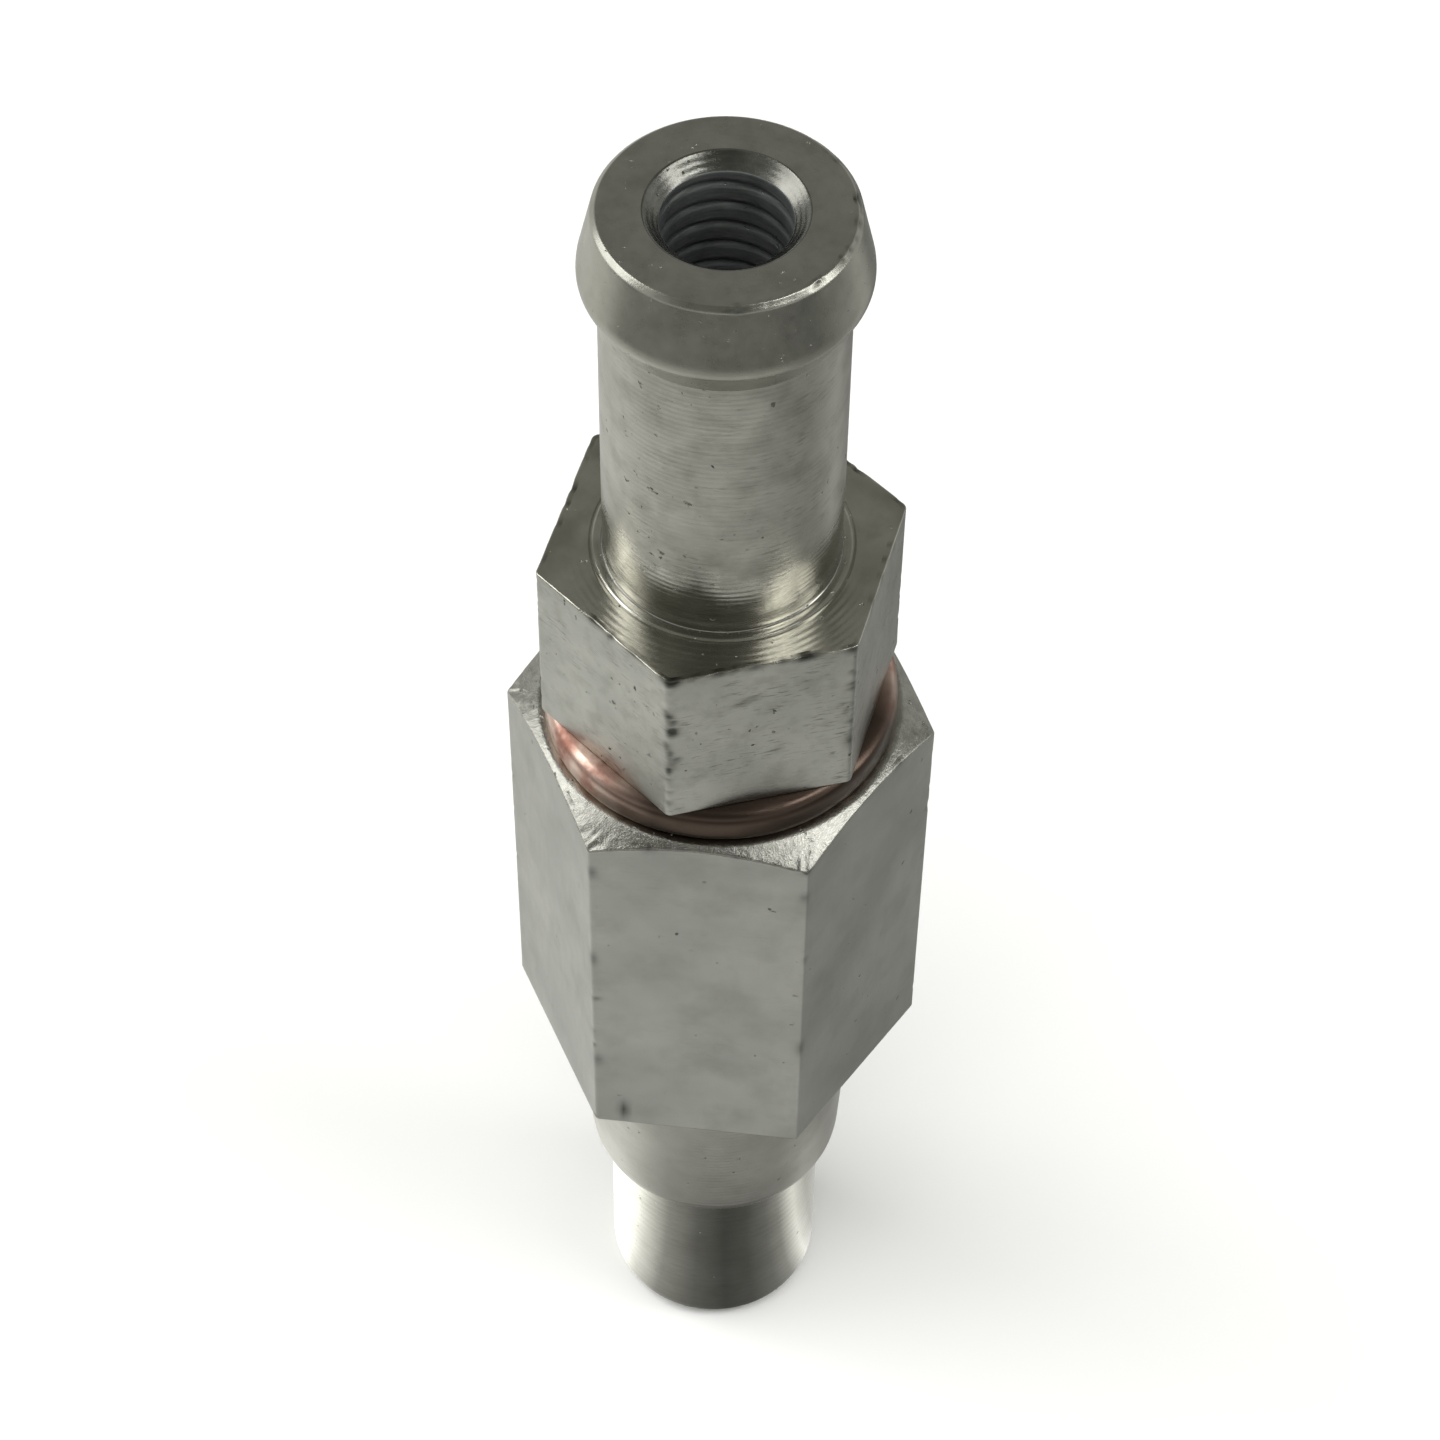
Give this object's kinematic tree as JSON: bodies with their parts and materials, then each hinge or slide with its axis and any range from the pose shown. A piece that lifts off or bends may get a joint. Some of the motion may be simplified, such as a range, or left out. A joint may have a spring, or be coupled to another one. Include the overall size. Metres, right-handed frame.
{
  "type": "in-line check valve",
  "caption": "In-line check valve with a beaded hose tail, two hexagons clamping a copper washer, and a plain spigot; a sprung poppet passes gas one way only.",
  "frame": {"origin": "centre of the plain inlet spigot's end face", "axes": "+Z along the valve's axis in the direction of flow, from the spigot to the beaded hose tail; +X through a corner of the large hexagon"},
  "size_m": [0.022, 0.019, 0.088],
  "materials": {
    "plated_steel": "turned and milled steel with satin bright plating",
    "copper": "soft annealed copper, dull",
    "valve_brass": "turned brass",
    "seal_rubber": "matt black rubber",
    "spring_steel": "drawn stainless wire"
  },
  "bodies": {
    "valve": {"valve_body": "plated_steel", "outlet_cap": "plated_steel", "copper_washer": "copper", "guide_disc": "valve_brass", "return_spring": "spring_steel"},
    "poppet_unit": {"poppet": "valve_brass", "poppet_seal": "seal_rubber"}
  },
  "joints": [
    {"name": "poppet_lift", "type": "slide", "parent": "valve", "child": "poppet_unit", "axis": [0, 0, 1], "range_m": [0, 0.0025], "stiffness_N_per_m": 250, "springref_m": -0.002, "deforming": ["return_spring"]}
  ]
}
